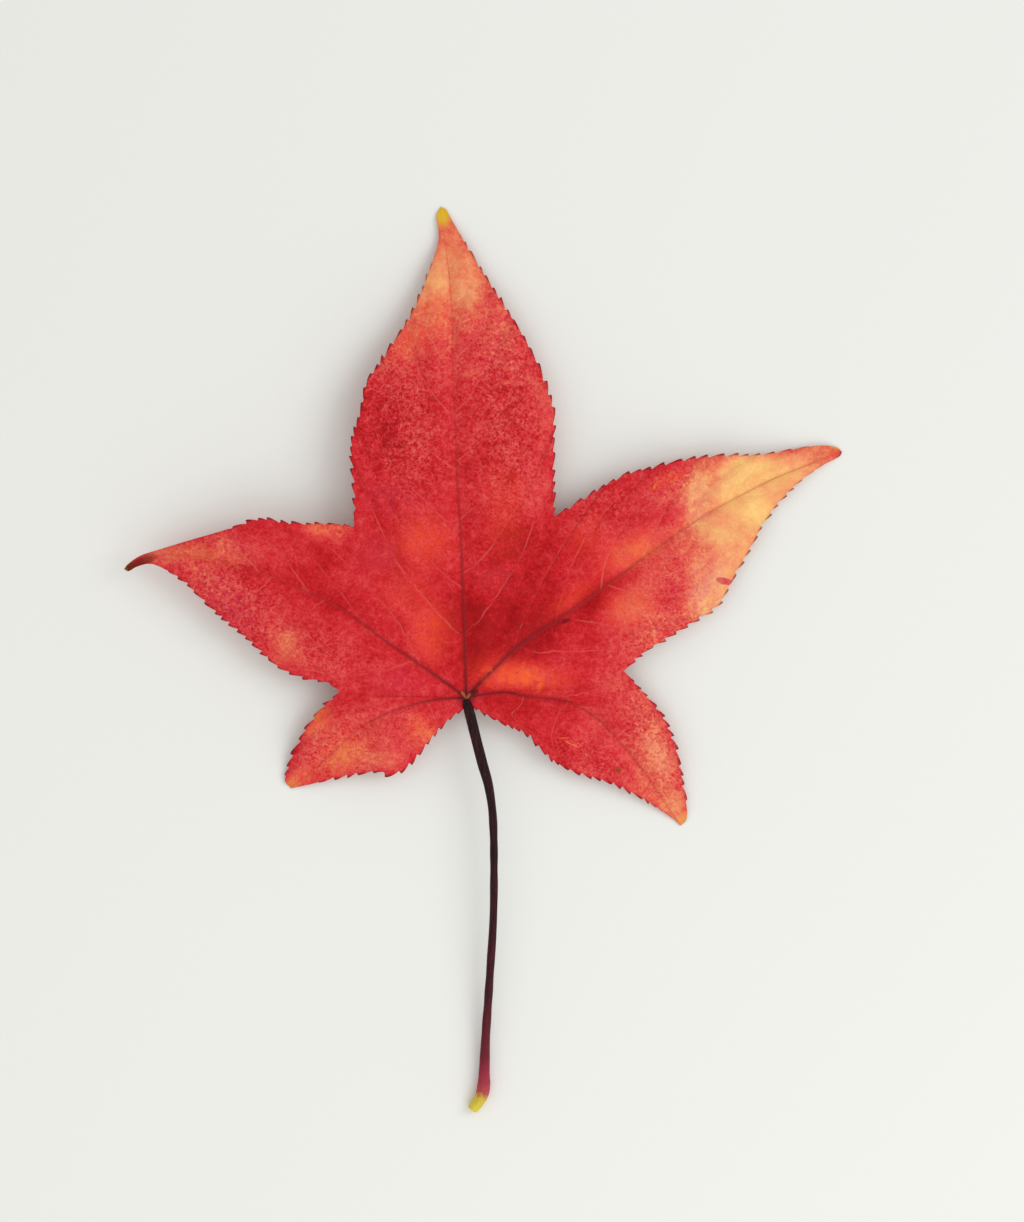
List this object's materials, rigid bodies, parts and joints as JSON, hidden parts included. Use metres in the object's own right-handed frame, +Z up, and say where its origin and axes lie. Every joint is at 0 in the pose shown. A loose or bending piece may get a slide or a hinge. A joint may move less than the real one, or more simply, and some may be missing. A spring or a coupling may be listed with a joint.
{
  "type": "sweetgum leaf",
  "caption": "Fallen autumn leaf: a thin, arched, star-shaped lobed blade with a fine saw-toothed margin, on a long slender stalk.",
  "frame": {"origin": "middle of the underside of the leaf's box, on the surface that it rests on", "axes": "+Y from the petiole's end towards the middle lobe's tip, +Z up out of the leaf's upper face, +X to the right"},
  "size_m": [0.1384, 0.175, 0.0078],
  "materials": {
    "leaf_blade": "thin dry leaf, red to reddish orange, satin upper face",
    "petiole": "smooth dark maroon stalk, half gloss, yellow-green at its end"
  },
  "bodies": {
    "root": {"leaf_blade": "leaf_blade", "petiole": "petiole"}
  },
  "joints": []
}
